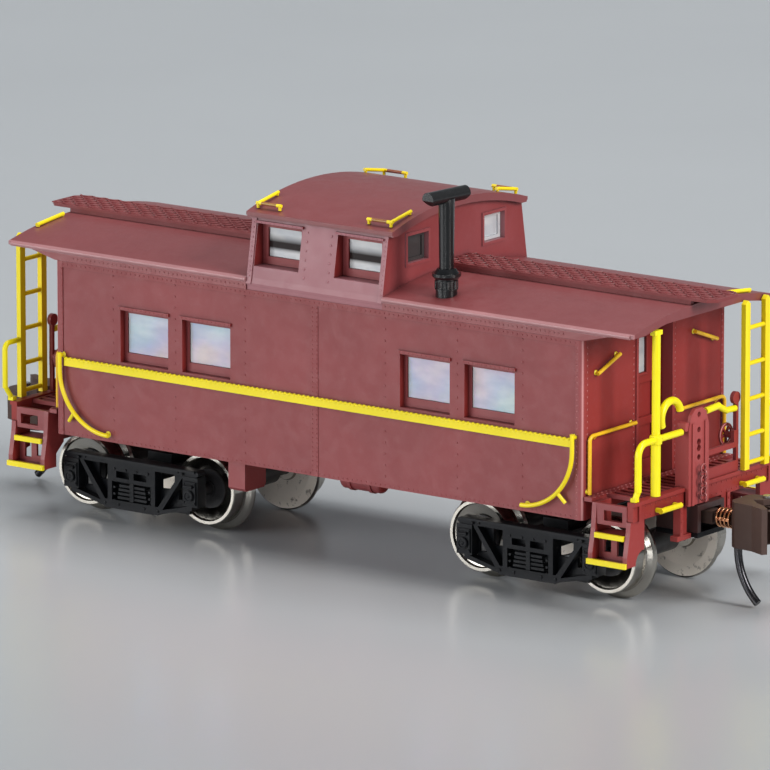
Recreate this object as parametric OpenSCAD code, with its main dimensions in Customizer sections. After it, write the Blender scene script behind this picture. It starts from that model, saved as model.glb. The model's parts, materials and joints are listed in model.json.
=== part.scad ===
// Model caboose, 1:160 scale. Millimetres. X runs along the car, Y across it, Z up.
// Z = 0 is the bottom of the wheel flanges, which is what the model stands on.
// The two ends are the same assembly turned half a turn about Z.

/* [Body] */
// Length of the car body between its end walls
body_length = 47.3; // [46.5:0.1:48]
// Width of the car body over its side walls
body_width = 17.6; // [17.4:0.1:17.8]
// Height of the bottom edge of the side walls
body_bottom = 6.55; // [6.5:0.05:6.7]
// Height of the top of the side walls
body_top = 19.55; // [19.4:0.05:19.7]
// Thickness of the moulded walls
wall = 0.8; // [0.7:0.05:0.85]

/* [Windows] */
// Width of a side window opening
window_width = 4.4; // [4.2:0.1:4.6]
// Height of a side window opening
window_height = 3.95; // [3.7:0.05:4.1]
// Height of the bottom of the side window openings
window_sill = 12.65; // [12.6:0.05:12.8]
// Distance from the car's middle to its inner side windows
window_inner = 9.83; // [9.6:0.05:9.9]
// Distance from the car's middle to its outer side windows
window_outer = 15.52; // [15.3:0.05:15.8]

/* [Roof] */
// Length of the roof over both end platforms
roof_length = 56.06; // [55.6:0.02:56.3]
// Width of the roof over its eaves
roof_width = 17.8; // [17.7:0.05:18]
// Height of the roof at the eaves
eave_height = 20.47; // [20.4:0.01:20.6]
// Rise of the roof from eaves to crown
roof_rise = 1.03; // [0.9:0.01:1.15]
// Width of the walkway along the roof
walkway_width = 3.6; // [3.3:0.1:4]

/* [Cupola] */
// Length of the cupola between its end walls
cupola_length = 12.2; // [12:0.05:12.4]
// Height of the top of the cupola's walls
cupola_top = 24.75; // [24.6:0.05:24.9]
// Width of the cupola at the top of its walls
cupola_top_width = 16.06; // [15.8:0.02:16.3]
// Rise of the cupola roof from eaves to crown
cupola_rise = 1.25; // [1.15:0.05:1.4]

/* [Trucks] */
// Distance between the two truck pivots
truck_centres = 35.8; // [35.6:0.05:36]
// Distance between the two axles of a truck
wheelbase = 11.04; // [10.9:0.02:11.2]
// Radius of a wheel's tread
tread_radius = 2.67; // [2.6:0.01:2.7]
// Radius of a wheel's flange, which is also the height of the axles
flange_radius = 3.29; // [3.2:0.01:3.32]
// Distance between the backs of the two wheels on an axle
back_to_back = 7.5; // [7.4:0.02:7.6]
// Radius of the pivot screw on which a truck swings
kingpin_radius = 0.7; // [0.6:0.02:0.75]
// Clearance all round a turning shaft or pin
running_fit = 0.06; // [0.04:0.01:0.09]

/* [Coupler] */
// Height of the coupler's centre line
coupler_height = 6; // [5.95:0.05:6.05]
// Distance from the car's middle to the pivot of a coupler
coupler_pivot = 26.6; // [26.5:0.05:26.7]
// Distance from the car's middle to the pivot of a knuckle
knuckle_pivot = 32.75; // [32.7:0.05:32.8]

/* [Hidden] */
$fn = 32;
half_length = body_length / 2;
half_width = body_width / 2;
roof_half = roof_length / 2;
roof_edge = roof_width / 2;
roof_radius = (roof_edge * roof_edge + roof_rise * roof_rise) / (2 * roof_rise);
roof_crown = eave_height + roof_rise;
roof_thick = 0.55;
truck_x = truck_centres / 2;
axle_x = wheelbase / 2;
wheel_back = back_to_back / 2;
wheel_face = 5.66;
cupola_half = cupola_length / 2;
cupola_roof_edge = 8.25;
cupola_eave = 25.15;
cupola_radius = (cupola_roof_edge * cupola_roof_edge + cupola_rise * cupola_rise) / (2 * cupola_rise);
walkway_top = 22;
platform_top = 8.3;
sill_face = 28;
sill_top = 8.4;
sill_bottom = 7;
post_y = 5.95;
door_front = half_length - 1.15;
ladder_x = 28.3;
ladder_in = 4.65;
ladder_out = 7.15;
rail_size = 0.5;
floor_bottom = 7;
frame_face = 7.4;
frame_back = 6.5;
bolster_top = 5.9;
fit_gap = 0.02;

maroon = [0.46, 0.22, 0.24];
red = [0.5, 0.18, 0.18];
yellow = [0.92, 0.8, 0.12];
black = [0.07, 0.07, 0.08];
nickel = [0.75, 0.74, 0.72];
clear = [0.75, 0.8, 0.85, 0.5];
brown = [0.28, 0.2, 0.17];
copper = [0.7, 0.42, 0.25];
steel = [0.55, 0.55, 0.56];

// Repeats its children at both ends of the car.
module both_ends() {
    children();
    rotate([0, 0, 180]) children();
}

// Repeats its children on both sides of the car.
module both_sides() {
    children();
    mirror([0, 1, 0]) children();
}

// Repeats its children at all four corners.
module four_corners() {
    both_sides() {
        children();
        mirror([1, 0, 0]) children();
    }
}

// Box given by its two opposite corners.
module span(a, b) {
    translate(a) cube(b - a);
}

// Round rod between two points.
module rod(a, b, d) {
    v = b - a;
    n = norm(v);
    translate(a)
        rotate([0, acos(v[2] / n), atan2(v[1], v[0])])
            cylinder(d = d, h = n);
}

// Quarter bend of a rod in the plane across the car, centred on p.
module bend_yz(p, r, d, from, sweep) {
    translate(p)
        rotate([90, 0, 90])
            rotate([0, 0, from])
                rotate_extrude(angle = sweep) translate([r, 0]) circle(d = d);
}

// Solid cylinder lying along the car whose top follows a roof arch.
module arch_core(crown, radius, length) {
    translate([-length / 2, 0, crown - radius])
        rotate([0, 90, 0]) cylinder(r = radius, h = length, $fn = 180);
}

// The windows of one side wall, as upright boxes centred on their openings.
module at_side_windows() {
    for (x = [-window_outer, -window_inner, window_inner, window_outer])
        translate([x, 0, window_sill + window_height / 2]) children();
}

// Car body: open box with window and door openings, rounded corner posts, seams and window hoods.
module body_shell() {
    door_half = 2.1;
    corner_x = half_length - 0.37;
    corner_y = half_width - 0.37;
    color(maroon) {
        difference() {
            union() {
                span([-half_length, -half_width, body_bottom], [half_length, half_width, body_top]);
                intersection() {
                    arch_core(roof_crown - roof_thick - fit_gap, roof_radius - roof_thick, body_length);
                    span([-half_length, -8.2, body_top - 1], [half_length, 8.2, roof_crown]);
                }
            }
            four_corners()
                span([corner_x, corner_y, body_bottom - 1],
                     [half_length + 1, half_width + 1, body_top + 1]);
            span([-half_length + wall, -half_width + wall, body_bottom - 1],
                 [half_length - wall, half_width - wall, roof_crown + 1]);
            at_side_windows() cube([window_width, body_width + 2, window_height], center = true);
            span([-half_length - 1, -door_half, body_bottom - 1], [half_length + 1, door_half, 19.2]);
            span([-half_length - 1, -7.6, body_bottom - 1], [half_length + 1, 7.6, floor_bottom]);
            span([-cupola_half - 0.05, -8.3, body_top - 0.01], [cupola_half + 0.05, 8.3, roof_crown + 1]);
        }
        both_sides() side_trim();
        four_corners() {
            translate([corner_x, corner_y, 0]) cylinder_z(body_bottom, body_top, 0.45, $fn = 64);
            span([half_length - 0.01, corner_y - 0.2, body_bottom],
                 [half_length + 0.07, corner_y, body_top]);
            span([half_length - 0.01, door_half, platform_top],
                 [half_length + 0.1, door_half + 0.25, 19.3]);
        }
    }
}

// Raised strips of one side wall.
module side_trim() {
    post = half_length - 0.37;
    span([-post, half_width - 0.01, body_top - 0.45], [post, half_width + 0.06, body_top]);
    for (x = [-post, post - 0.25])
        span([x, half_width - 0.01, body_bottom], [x + 0.25, half_width + 0.07, body_top]);
    span([-0.32, half_width - 0.01, body_bottom], [0.32, half_width + 0.04, body_top]);
    at_side_windows()
        span([-window_width / 2 - 0.12, half_width - 0.01, window_height / 2],
             [window_width / 2 + 0.12, half_width + 0.16, window_height / 2 + 0.24]);
}

// Two arched roof panels, one each side of the cupola, with eave boards that thin out over the platforms.
module roof_panels() {
    lip = 0.45;
    drip = 0.17;
    color(maroon)
        both_ends() {
            difference() {
                intersection() {
                    arch_core(roof_crown, roof_radius, roof_length);
                    span([cupola_half + fit_gap, -roof_edge, body_top + fit_gap],
                         [roof_half, roof_edge, roof_crown]);
                }
                difference() {
                    intersection() {
                        arch_core(roof_crown - roof_thick, roof_radius - roof_thick, roof_length + 2);
                        span([cupola_half - 1, -roof_edge + lip, body_top - 1],
                             [roof_half + 1, roof_edge - lip, roof_crown]);
                    }
                    span([roof_half - 0.35, -roof_edge, roof_crown - roof_thick - 0.3],
                         [roof_half, roof_edge, roof_crown]);
                }
                rotate([90, 0, 0]) linear_extrude(30, center = true)
                    polygon([[half_length + 0.05, 19], [half_length + 0.05, body_top + fit_gap],
                             [25.9, 20.12], [roof_half + 0.1, 20.22], [roof_half + 0.1, 19]]);
            }
            both_sides()
                translate([cupola_half + fit_gap, roof_edge - 0.03, eave_height - drip])
                    rotate([0, 90, 0]) cylinder(r = drip, h = roof_half - cupola_half - 0.3);
        }
}

// Walkways of chequered plate along the roof, on lengthwise risers.
module walkways() {
    w = walkway_width / 2;
    plate = 0.22;
    tip = roof_half + 1.9;
    color(maroon)
        both_ends() {
            difference() {
                span([cupola_half + fit_gap, -w, walkway_top - plate], [tip, w, walkway_top]);
                for (s = [-1, 1])
                    translate([tip, s * w, 0]) rotate([0, 0, 45]) cube([0.8, 0.8, 60], center = true);
            }
            difference() {
                for (y = [-w + 0.08, -0.2, w - 0.48])
                    span([cupola_half + fit_gap, y, roof_crown - 0.2],
                         [roof_half - 0.1, y + 0.4, walkway_top - plate + 0.01]);
                arch_core(roof_crown + 0.01, roof_radius + 0.01, roof_length + 4);
            }
        }
}

// Cross-section of the cupola: a flared foot, then sides leaning in, and a top that follows its roof.
module cupola_section(inset, foot) {
    base = half_width + 0.05 - inset;
    top = cupola_top_width / 2 - inset;
    polygon([[-base, foot], [base, foot], [base, 20.05], [base - 0.1, 20.45], [top, cupola_top],
             [-top, cupola_top], [-base + 0.1, 20.45], [-base, 20.05]]);
}

// Cupola walls with eight window openings, corner strips and raised window frames.
module cupola_shell() {
    w = 1.15;
    end_w = 0.7;
    foot = body_top + 0.35;
    color(maroon)
        difference() {
            union() {
                translate([-cupola_half, 0, 0])
                    rotate([90, 0, 90]) linear_extrude(cupola_length) cupola_section(0, foot);
                for (x = [-cupola_half, cupola_half - 0.42])
                    translate([x, 0, 0]) rotate([90, 0, 90]) linear_extrude(0.42) cupola_section(-0.07, 20);
                both_sides() {
                    for (x = [-3.6, 3.6])
                        span([x - 2.15, 8.0, 24.42], [x + 2.15, 8.28, 24.6]);
                    span([-cupola_half, half_width - wall, body_top], [cupola_half, half_width, foot + 0.1]);
                }
                for (e = [-1, 1])
                    for (y = [-4.65, 4.65])
                        translate([e * cupola_half, y, 23.45]) cube([0.2, 2.94, 2.44], center = true);
                intersection() {
                    arch_core(cupola_eave + cupola_rise - 0.6, cupola_radius - 0.6, cupola_length);
                    span([-cupola_half, -7.4, cupola_top - 0.5], [cupola_half, 7.4, 30]);
                }
            }
            translate([-cupola_half + end_w, 0, 0])
                rotate([90, 0, 90]) linear_extrude(cupola_length - 2 * end_w) cupola_section(w, foot - 2);
            span([-cupola_half + end_w, -6.5, cupola_top - 1], [cupola_half - end_w, 6.5, 30]);
            for (x = [-3.6, 3.6])
                span([x - 2, -12, 21.3], [x + 2, 12, 24.4]);
            for (y = [-4.65, 4.65])
                span([-cupola_half - 1, y - 1.25, 22.45], [cupola_half + 1, y + 1.25, 24.45]);
        }
}

// Arched cupola roof, a thin shell that overhangs all round.
module cupola_roof() {
    over = 0.45;
    color(maroon)
        difference() {
            intersection() {
                arch_core(cupola_eave + cupola_rise, cupola_radius, cupola_length + 2 * over);
                span([-20, -cupola_roof_edge, cupola_top + fit_gap], [20, cupola_roof_edge, 30]);
            }
            intersection() {
                arch_core(cupola_eave + cupola_rise - 0.57, cupola_radius - 0.57, cupola_length + 3);
                span([-20, -cupola_roof_edge + 0.75, cupola_top - 1], [20, cupola_roof_edge - 0.75, 30]);
            }
            both_sides()
                span([-20, cupola_roof_edge - 0.1, cupola_top - 1],
                     [20, cupola_roof_edge + 1, cupola_top + 0.15]);
        }
}

// Sashes: one set back in each side window, deeper below the glass, and one in each cupola side window.
module window_sashes() {
    color(maroon)
        both_sides() {
            at_side_windows()
                difference() {
                    span([-window_width / 2 + fit_gap, half_width - 0.78, -window_height / 2 + fit_gap],
                         [window_width / 2 - fit_gap, half_width - 0.5, window_height / 2 - fit_gap]);
                    span([-window_width / 2 + 0.3, half_width - 2, -window_height / 2 + 0.68],
                         [window_width / 2 - 0.3, half_width, window_height / 2 - 0.3]);
                }
            for (x = [-3.6, 3.6])
                translate([x, 0, 0])
                    difference() {
                        span([-1.98, 7.28, 21.32], [1.98, 7.52, 24.38]);
                        span([-1.5, 6, 21.9], [1.5, 8, 24.05]);
                    }
        }
}

// Clear panes: in the side sashes, in the cupola's sides and ends, and in the end doors.
module glazing() {
    color(clear) {
        both_sides() {
            at_side_windows() {
                span([-window_width / 2 + 0.32, half_width - 1.1, -window_height / 2 + 0.7],
                     [window_width / 2 - 0.32, half_width - 0.6, window_height / 2 - 0.32]);
                span([-window_width / 2 - 0.3, half_width - 1.2, -window_height / 2],
                     [window_width / 2 + 0.3, half_width - 0.82, window_height / 2]);
            }
            for (x = [-3.6, 3.6]) span([x - 1.48, 7.05, 21.92], [x + 1.48, 7.38, 24.03]);
        }
        both_ends() {
            for (y = [-4.65, 4.65])
                difference() {
                    span([cupola_half - 0.69, y - 1.23, 22.47], [cupola_half - 0.3, y + 1.23, 24.43]);
                    span([cupola_half - 0.42, y - 0.95, 22.72], [cupola_half - 0.2, y + 0.95, 24.18]);
                }
            span([door_front - 0.39, -0.5, 15.57], [door_front - 0.12, 0.5, 18.13]);
        }
    }
}

// Panelled door in its casing, set back behind each end wall.
module end_doors() {
    color(red)
        both_ends()
            difference() {
                union() {
                    span([door_front - 0.42, -2.35, floor_bottom + 0.67], [door_front, 2.35, 19.28]);
                    both_sides()
                        span([door_front - 0.1, 2.12, 8.05], [half_length - wall - fit_gap, 2.35, 19.28]);
                }
                span([door_front - 2, -0.52, 15.55], [door_front + 1, 0.52, 18.15]);
                span([door_front - 0.12, -1.3, 9.2], [door_front + 1, 1.3, 11.7]);
                span([door_front - 0.12, -1.3, 12.3], [door_front + 1, 1.3, 14.8]);
            }
}

// Raised belt rail under the windows on each side.
module belt_rails() {
    low = 11.8;
    high = 12.4;
    reach = half_length - 0.87;
    color(yellow)
        both_sides()
            difference() {
                span([-reach, half_width + 0.01, low], [reach, half_width + 0.28, high]);
                span([-0.35, half_width, low - 1], [0.35, half_width + 0.06, high + 1]);
            }
}

// Curved hand grab beside each corner of the side walls.
module side_grabs() {
    d = 0.32;
    y = half_width + 0.45;
    r = 4.45;
    reach = 23.05;
    centre_z = 11.55;
    color(yellow)
        four_corners() {
            rod([reach, y, centre_z], [reach, y, 12.8], d);
            rod([reach, y, 12.55], [reach, half_width + 0.12, 12.55], d * 0.9);
            translate([reach - r, y, centre_z])
                rotate([90, 0, 0])
                    rotate([0, 0, -90])
                        rotate_extrude(angle = 90, $fn = 72) translate([r, 0]) circle(d = d, $fn = 20);
            translate([reach - r + 0.3, half_width + fit_gap, centre_z - r])
                rotate([-90, 0, 0]) cylinder(d = d * 0.9, h = 0.45 - fit_gap);
            rod([21.75, y, 8.42], [22.35, half_width + 0.25, 7.7], d * 0.85);
        }
}

// Grabs of the end walls: a long L-shaped one at each corner and a short slanting one above it.
module end_grabs() {
    d = 0.28;
    x = half_length + 0.3;
    wall_face = half_length + 0.02;
    color(yellow)
        four_corners() {
            rod([x, 2.7, 12.6], [x, 7.95, 12.6], d);
            bend_yz([x, 7.95, 12.2], 0.4, d, 0, 90);
            rod([x, 8.35, 12.2], [x, 8.35, 8.4], d);
            rod([x, 2.9, 12.6], [wall_face, 2.9, 12.6], d * 0.9);
            rod([x, 8.35, 8.6], [wall_face + 0.08, 8.35, 8.6], d * 0.9);
            rod([x, 7.5, 12.6], [wall_face, 7.5, 12.3], d * 0.8);
            rod([x, 7.4, 16.95], [x, 4.65, 17.95], d);
            rod([x, 7.25, 17.005], [wall_face, 7.25, 17.005], d * 0.9);
            rod([x, 4.8, 17.895], [wall_face, 4.8, 17.895], d * 0.9);
        }
}

// Grab lying on the roof beside the walkway at each end.
module roof_grabs() {
    d = 0.3;
    x = roof_half - 0.35;
    color(yellow)
        both_ends() {
            rod([x, 6.0, 21.22], [x, 2.85, 21.56], d);
            rod([x, 5.85, 21.08], [x, 5.85, 21.24], d * 0.9);
            rod([x, 3, 21.4], [x, 3, 21.54], d * 0.9);
        }
}

// L-shaped grab on each corner of the cupola roof.
module cupola_grabs() {
    d = 0.26;
    color(yellow)
        four_corners()
        {
            rod([5.95, 5.2, 26.14], [5.95, 7.7, 25.7], d);
            rod([6.1, 7.6, 25.72], [3.85, 7.6, 25.72], d * 0.96);
            rod([5.95, 5.35, 25.92], [5.95, 5.35, 26.11], d * 0.9);
            rod([5.95, 7.6, 25.38], [5.95, 7.6, 25.72], d * 0.9);
            rod([4, 7.6, 25.38], [4, 7.6, 25.72], d * 0.9);
        }
}

// Stove pipe: foot, stepped collar, tapering pipe and T-shaped cap with cut-back ends.
module smoke_jack() {
    color(black)
        translate([10.35, -6.9, 0]) {
            difference() {
                translate([0, 0, 20.7]) cylinder(r = 0.78, h = 1.45);
                translate([-10.35, 6.9, 0]) arch_core(roof_crown + 0.02, roof_radius + 0.02, roof_length);
            }
            translate([0, 0, 22.1]) cylinder(r1 = 0.9, r2 = 1.05, h = 0.2);
            cylinder_z(22.29, 22.5, 1.05);
            translate([0, 0, 22.49]) cylinder(r1 = 0.9, r2 = 0.65, h = 0.35);
            translate([0, 0, 22.8]) cylinder(r1 = 0.53, r2 = 0.59, h = 5.1);
            translate([0, 0, 28.05]) rotate([90, 0, -6])
                intersection() {
                    cylinder(r = 0.52, h = 5, center = true);
                    rotate([0, 90, 0]) linear_extrude(3, center = true)
                        polygon([[-2, 0.6], [2, 0.6], [2, -0.1], [1.5, -0.6], [-1.5, -0.6], [-2, -0.1]]);
                }
        }
}

// Upright round bar between two heights.
module cylinder_z(low, high, r) {
    translate([0, 0, low]) cylinder(r = r, h = high - low);
}

// Underframe: floor that closes the body, centre sill, truck bosses and coupler pads.
module underframe() {
    inner_x = half_length - wall - 0.05;
    inner_y = half_width - wall - 0.05;
    color(maroon)
        difference() {
            union() {
                span([-inner_x, -inner_y, floor_bottom], [inner_x, inner_y, floor_bottom + 0.65]);
                span([-14.2, -1.5, 5.35], [14.2, 1.5, floor_bottom + 0.1]);
                for (x = [-10.2, 9.5]) span([x, -5.6, 6.2], [x + 0.7, 5.6, floor_bottom + 0.1]);
                both_ends() {
                    translate([truck_x, 0, 0]) cylinder_z(bolster_top + 0.15, floor_bottom + 0.1, 2);
                    span([inner_x - 0.1, -1.9, floor_bottom], [27.45, 1.9, platform_top - 0.32]);
                }
                for (y = [-3.2, 3.2]) span([-9.6, y - 0.25, 6.2], [9.6, y + 0.25, floor_bottom + 0.1]);
            }
            both_ends() {
                translate([truck_x, 0, 0]) cylinder_z(5, 9, kingpin_radius + fit_gap);
                translate([coupler_pivot, 0, 0]) cylinder_z(6, 9, 0.42);
            }
        }
}

// Ballast bar lying on the floor inside the body.
module ballast() {
    color(steel)
        difference() {
            span([-15, -5, floor_bottom + 0.67], [15, 5, floor_bottom + 2.6]);
            both_ends() translate([12.5, 0, 0]) cylinder_z(6, 12, 1);
        }
}

// Tool box hung under the near side.
module tool_box() {
    color(maroon)
        difference() {
            span([-8.45, -8, 4.25], [-6.95, -5.5, floor_bottom - fit_gap]);
            for (y = [-8, -5.5])
                translate([-7.7, y, 4.25]) rotate([45, 0, 0]) cube([2, 0.3, 0.3], center = true);
        }
}

// Air reservoir with domed ends hung under the near side, on two straps.
module air_tank() {
    color(maroon)
        translate([0, -5.9, 6.08]) {
            translate([0.8, 0, 0]) rotate([0, 90, 0]) cylinder(r = 0.8, h = 3.1);
            for (x = [0.8, 3.9]) translate([x, 0, 0]) scale([0.5, 1, 1]) sphere(r = 0.8);
            for (x = [1.3, 3.1])
                translate([x, 0, 0]) {
                    rotate([0, 90, 0]) cylinder(r = 0.88, h = 0.3);
                    span([0, -0.5, 0], [0.3, 0.5, floor_bottom - fit_gap - 6.08]);
                }
        }
}

// Brake cylinder with its push rod hung under the far side.
module brake_cylinder() {
    color(maroon)
        translate([0, 5.2, 5.98]) {
            translate([-4.2, 0, 0]) rotate([0, 90, 0]) cylinder(r = 0.95, h = 2.2);
            translate([-2.1, 0, 0]) rotate([0, 90, 0]) cylinder(r = 0.99, h = 0.3);
            translate([-1.9, 0, 0]) rotate([0, 90, 0]) cylinder(r = 0.25, h = 3.4);
            span([-3.8, -0.6, 0], [-3.2, 0.6, floor_bottom - fit_gap - 5.98]);
        }
}

// Grated end platform inside each end sill.
module platforms() {
    color(maroon)
        both_ends()
            difference() {
                union() {
                    span([half_length + 0.12, -6.9, platform_top - 0.3],
                         [sill_face - 0.52, 6.9, platform_top]);
                    span([half_length + 0.12, -8.75, platform_top - 0.3], [24.42, 8.75, platform_top]);
                }
                for (y = [-6.4 : 0.8 : 6.4])
                    span([24.6, y - 0.22, platform_top - 0.15], [27.2, y + 0.22, platform_top + 1]);
            }
}

// End sill across each end, with a bracket each side of the coupler.
module end_sills() {
    inner = sill_face - 0.5;
    color(red)
        both_ends() {
            span([inner, -8.75, sill_bottom], [sill_face, 8.75, sill_top]);
            span([sill_face - 0.01, -8.75, sill_top - 0.28], [sill_face + 0.14, 8.75, sill_top]);
            both_sides() {
                span([sill_face - 0.01, 7.9, sill_bottom], [sill_face + 0.14, 8.2, sill_top]);
                span([inner, 2.15, 4.95], [sill_face, 3.1, sill_bottom + 0.1]);
                span([sill_face - 0.01, 2.75, 4.95], [sill_face + 0.12, 3.1, sill_bottom + 0.1]);
                span([inner, 1.75, 4.6], [sill_face + 0.1, 3.45, 4.97]);
            }
        }
}

// Side outline of an inner step stringer, drawn outward from the car.
module stringer_outline() {
    polygon([[7, 8.05], [8.8, 8.05], [8.95, 6.2], [9.3, 4.5], [9.3, 3.75], [7.9, 3.75], [7.9, 4.75],
             [7, 5.5]]);
}

// Side outline of an outer step stringer, whose back edge curves out to the lower tread.
module outer_stringer_outline() {
    difference() {
        polygon([[7.2, 8.05], [8.8, 8.05], [8.95, 6.2], [9.3, 4.5], [9.3, 3.75], [7.2, 3.75]]);
        translate([7.2, 3.75]) circle(r = 1.05);
    }
}

// Step at each corner: two stringers, a pierced riser, a low back panel and two treads.
module steps() {
    color(maroon)
        four_corners()
            difference() {
                union() {
                    translate([24.5, 0, 0]) rotate([90, 0, 90]) linear_extrude(0.38) stringer_outline();
                    translate([27.5, 0, 0]) rotate([90, 0, 90]) linear_extrude(0.38) outer_stringer_outline();
                    span([24.5, 8.45, 6.55], [27.88, 8.8, 8.05]);
                    span([24.6, 7.2, 5.72], [27.6, 8.95, 5.92]);
                    span([24.6, 8.25, 3.8], [27.6, 9.25, 4]);
                    span([24.6, 8.25, 3.9], [27.6, 8.45, 5.8]);
                }
                span([25.5, 8, 6.85], [27.1, 9.5, 7.6]);
                span([25.3, 8, 4.5], [25.9, 8.7, 5.4]);
                span([26.4, 8, 4.3], [27, 8.7, 5.5]);
                span([sill_face - 0.52, 6, sill_bottom - fit_gap], [sill_face + 1, 10, 9]);
            }
}

// Bright front edge on every tread.
module step_edges() {
    color(yellow)
        four_corners() {
            span([24.95, 8.97, 5.62], [27.43, 9.2, 5.98]);
            span([24.5, 9.32, 3.72], [27.86, 9.55, 4.1]);
        }
}

// Ladder from the sill to the roof edge at each end.
module ladders() {
    wide = 0.6;
    thick = 0.38;
    top = 20.75;
    color(yellow)
        both_ends() {
            for (y = [ladder_in, ladder_out])
                difference() {
                    span([ladder_x - thick / 2, y - wide / 2, sill_top + fit_gap],
                         [ladder_x + thick / 2, y + wide / 2, top]);
                    for (s = [-1, 1])
                        translate([ladder_x, y + s * wide / 2, top])
                            rotate([45, 0, 0]) cube([1, 0.35, 0.35], center = true);
                }
            for (z = [8.85, 10.9, 13.5, 16.1, 18.7])
                rod([ladder_x, ladder_in, z], [ladder_x, ladder_out, z], 0.34);
        }
}

// Post from the sill to the roof at each end, stouter below the handrail, with a spread head.
module roof_posts() {
    x = sill_face - 0.05;
    color(yellow)
        both_ends()
            translate([x, -post_y, 0]) {
                cylinder_z(sill_top + fit_gap, 12.2, 0.35);
                cylinder_z(12.1, 20.3, 0.3);
                span([-0.2, -0.48, 20.05], [0.24, 0.42, 20.38]);
            }
}

// Handrail of each end's open corner, clipped round the roof post, with its foot on the sill.
module end_rails() {
    d = rail_size;
    x = sill_face + 0.02;
    corner = -8.2;
    side = 9.1;
    color(yellow)
        both_ends() {
            rod([x, -2.95, 12.5], [x, -post_y + 0.36, 12.5], d);
            rod([x, -post_y - 0.36, 12.5], [x, corner + 0.9, 12.5], d);
            bend_yz([x, corner + 0.9, 11.6], 0.9, d, 90, 90);
            rod([x, corner, 11.6], [x, corner, 9.1], d);
            rod([x, corner + 0.05, 9.25], [x - 0.12, corner - 0.18, 8.6], d * 0.9);
            span([x - 0.38, corner - 0.4, 8.42], [x + 0.08, corner + 0.02, 8.7]);
            rod([ladder_x, ladder_out + 0.32, 12.75], [ladder_x, side - 0.5, 12.75], d * 0.8);
            bend_yz([ladder_x, side - 0.5, 12.25], 0.5, d * 0.8, 0, 90);
            rod([ladder_x, side, 12.25], [ladder_x, side, 9.4], d * 0.8);
            rod([ladder_x, side, 9.5], [ladder_x - 0.12, 8.6, 8.7], d * 0.72);
            span([ladder_x - 0.4, 8.25, 8.42], [ladder_x + 0.05, 8.72, 8.7]);
        }
}

// Arched safety rail from the roof post to the brake column, and the wavy rail beyond the column.
module gate_rails() {
    d = rail_size;
    x = sill_face - 0.1;
    color(yellow)
        both_ends() {
            bend_yz([x, -4.05, 13.75], 1.2, d * 1.12, 15, 190);
            rod([x, 0.2, 13.45], [x, 1.9, 13.55], d);
            rod([x, 1.75, 13.54], [x, 2.9, 13.0], d * 0.96);
            rod([x, 2.75, 13.04], [x, 3.93, 13], d * 0.94);
        }
}

// Brake column of each end: drilled channel with a rounded head.
module brake_columns() {
    low = 7.05;
    high = 14;
    left = -2.55;
    right = -0.05;
    mid = (left + right) / 2;
    back = sill_face + 0.16;
    front = sill_face + 0.42;
    color(maroon)
        both_ends() {
            difference() {
                union() {
                    translate([back, 0, 0]) rotate([90, 0, 90]) linear_extrude(front - back)
                        polygon([[left, low], [right, low], [right, high - 1.3], [right - 0.35, high - 0.35],
                                 [right - 0.8, high], [left + 0.8, high], [left + 0.35, high - 0.35],
                                 [left, high - 1.3]]);
                    span([back - 0.9, left, sill_top + 0.02], [front, left + 0.3, high - 1.4]);
                    span([back - 0.9, right - 0.3, sill_top + 0.02], [front, right, high - 1.4]);
                    span([back - 0.5, left - 0.35, 12.55], [front - 0.05, left + 0.1, 13.15]);
                }
                for (z = [10.45, 12.45, 13.55])
                    translate([back - 2, mid, z]) rotate([0, 90, 0]) cylinder(r = 0.2, h = 5);
                for (z = [11.1, 11.55])
                    translate([back - 2, mid, z]) rotate([0, 90, 0]) cylinder(r = 0.24, h = 5);
            }
            for (y = [left + 0.35, right - 0.6])
                span([front - 0.01, y, low], [front + 0.1, y + 0.25, high - 1]);
        }
}

// Hanging brake chain on the face of each column, links at right angles in turn.
module brake_chains() {
    pitch = 0.42;
    color(maroon)
        both_ends()
            for (i = [0 : 5])
                translate([sill_face + 0.84, -1.3, 7.6 + pitch * i])
                    rotate([90, 0, i % 2 == 0 ? 0 : 90])
                        rotate_extrude($fn = 24) translate([0.285, 0]) circle(r = 0.07, $fn = 14);
}

// Gate beside the column: post with a rounded finial and a swelling, two cross bars and a kick panel.
module gates() {
    x = sill_face - 0.3;
    color(maroon)
        both_ends() {
            span([x, 3.98, sill_top + 0.02], [x + 0.3, 4.24, 13.6]);
            span([x, 3.7, 10.35], [x + 0.3, 4.26, 11.4]);
            span([x, 0.12, 10.15], [x + 0.3, 3.99, 10.55]);
            span([x + 0.1, 0.12, 8.42], [x + 0.3, 3.99, 9.2]);
            translate([x, 4.02, 13.75]) rotate([0, 90, 0]) cylinder(r = 0.45, h = 0.3);
        }
}

// Spoked hand brake wheel on its gear case behind the gate post.
module brake_wheels() {
    x = sill_face - 1;
    y = 4.1;
    z = 10.95;
    color(maroon)
        both_ends() {
            translate([x, y, z]) rotate([0, 90, 0]) {
                rotate_extrude($fn = 48) translate([0.72, 0]) circle(r = 0.13, $fn = 16);
                cylinder(r = 0.24, h = 0.68);
                for (a = [0 : 72 : 288])
                    rotate([0, 0, a]) translate([0, -0.08, -0.07]) cube([0.72, 0.16, 0.14]);
            }
        }
}

// Hand grabs on the face of each end sill.
module sill_grabs() {
    d = 0.4;
    x = sill_face + 0.5;
    z = 7.4;
    color(yellow)
        both_ends()
            for (g = [[-6.1, -3.6], [4.35, 6.75]]) {
                rod([x, g[0], z], [x, g[1], z], d);
                for (y = [g[0] + 0.2, g[1] - 0.2]) rod([x, y, z], [sill_face + 0.02, y, z], d * 0.9);
            }
}

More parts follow.
